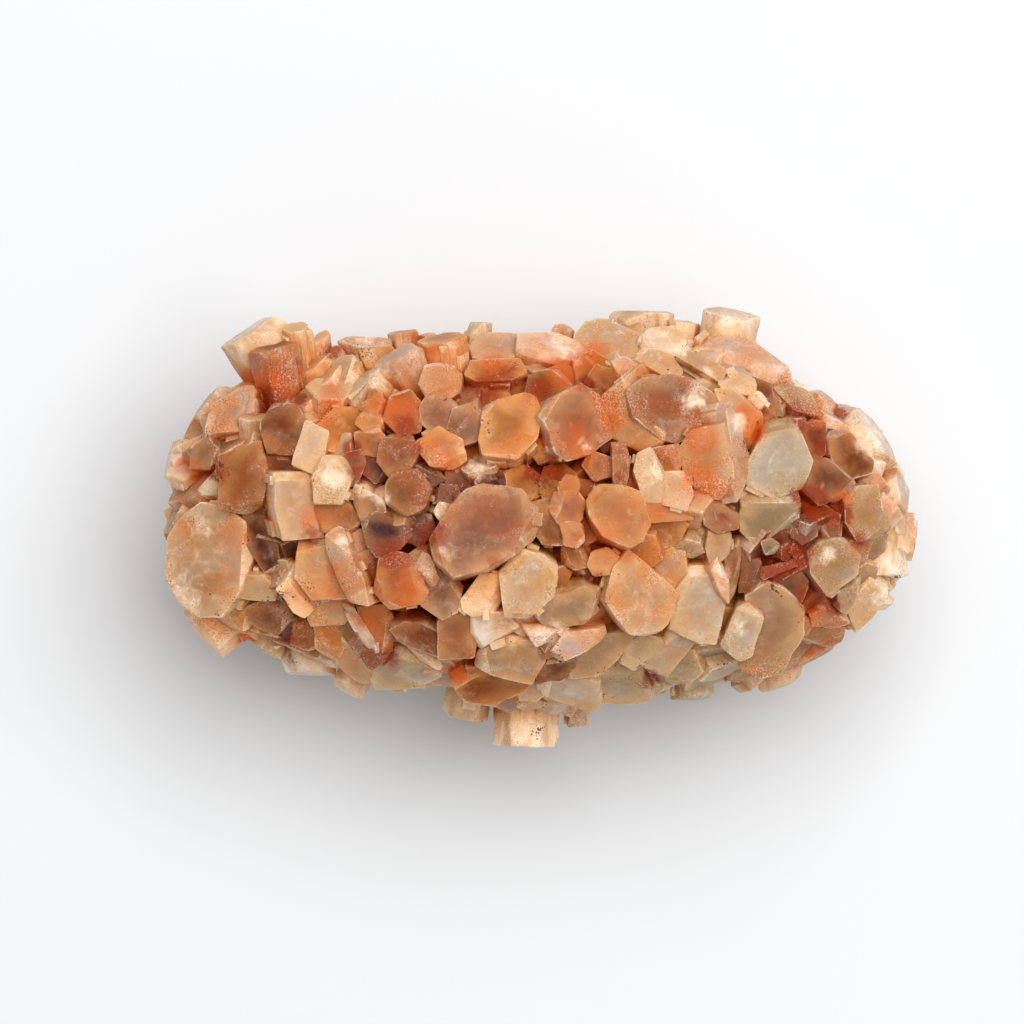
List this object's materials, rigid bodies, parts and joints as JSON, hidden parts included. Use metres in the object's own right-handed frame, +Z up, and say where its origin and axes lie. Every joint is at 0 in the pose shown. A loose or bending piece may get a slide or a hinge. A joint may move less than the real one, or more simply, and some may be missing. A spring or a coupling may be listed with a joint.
{
  "type": "aragonite sputnik crystal cluster",
  "caption": "Elongated ball of stubby six-sided crystals grown outwards from one core, resting on a few crystal ends.",
  "frame": {"origin": "under the middle of the cluster, on the surface that it rests on", "axes": "+Z up, +X along the long side of the cluster, +Y towards the back as it lies"},
  "size_m": [0.0756, 0.0441, 0.0422],
  "materials": {
    "aragonite": "frosted, waxy crystal ends, rosy mauve to cream, with orange iron-stained sides"
  },
  "bodies": {
    "root": {"crystal_cluster": "aragonite"}
  },
  "joints": []
}
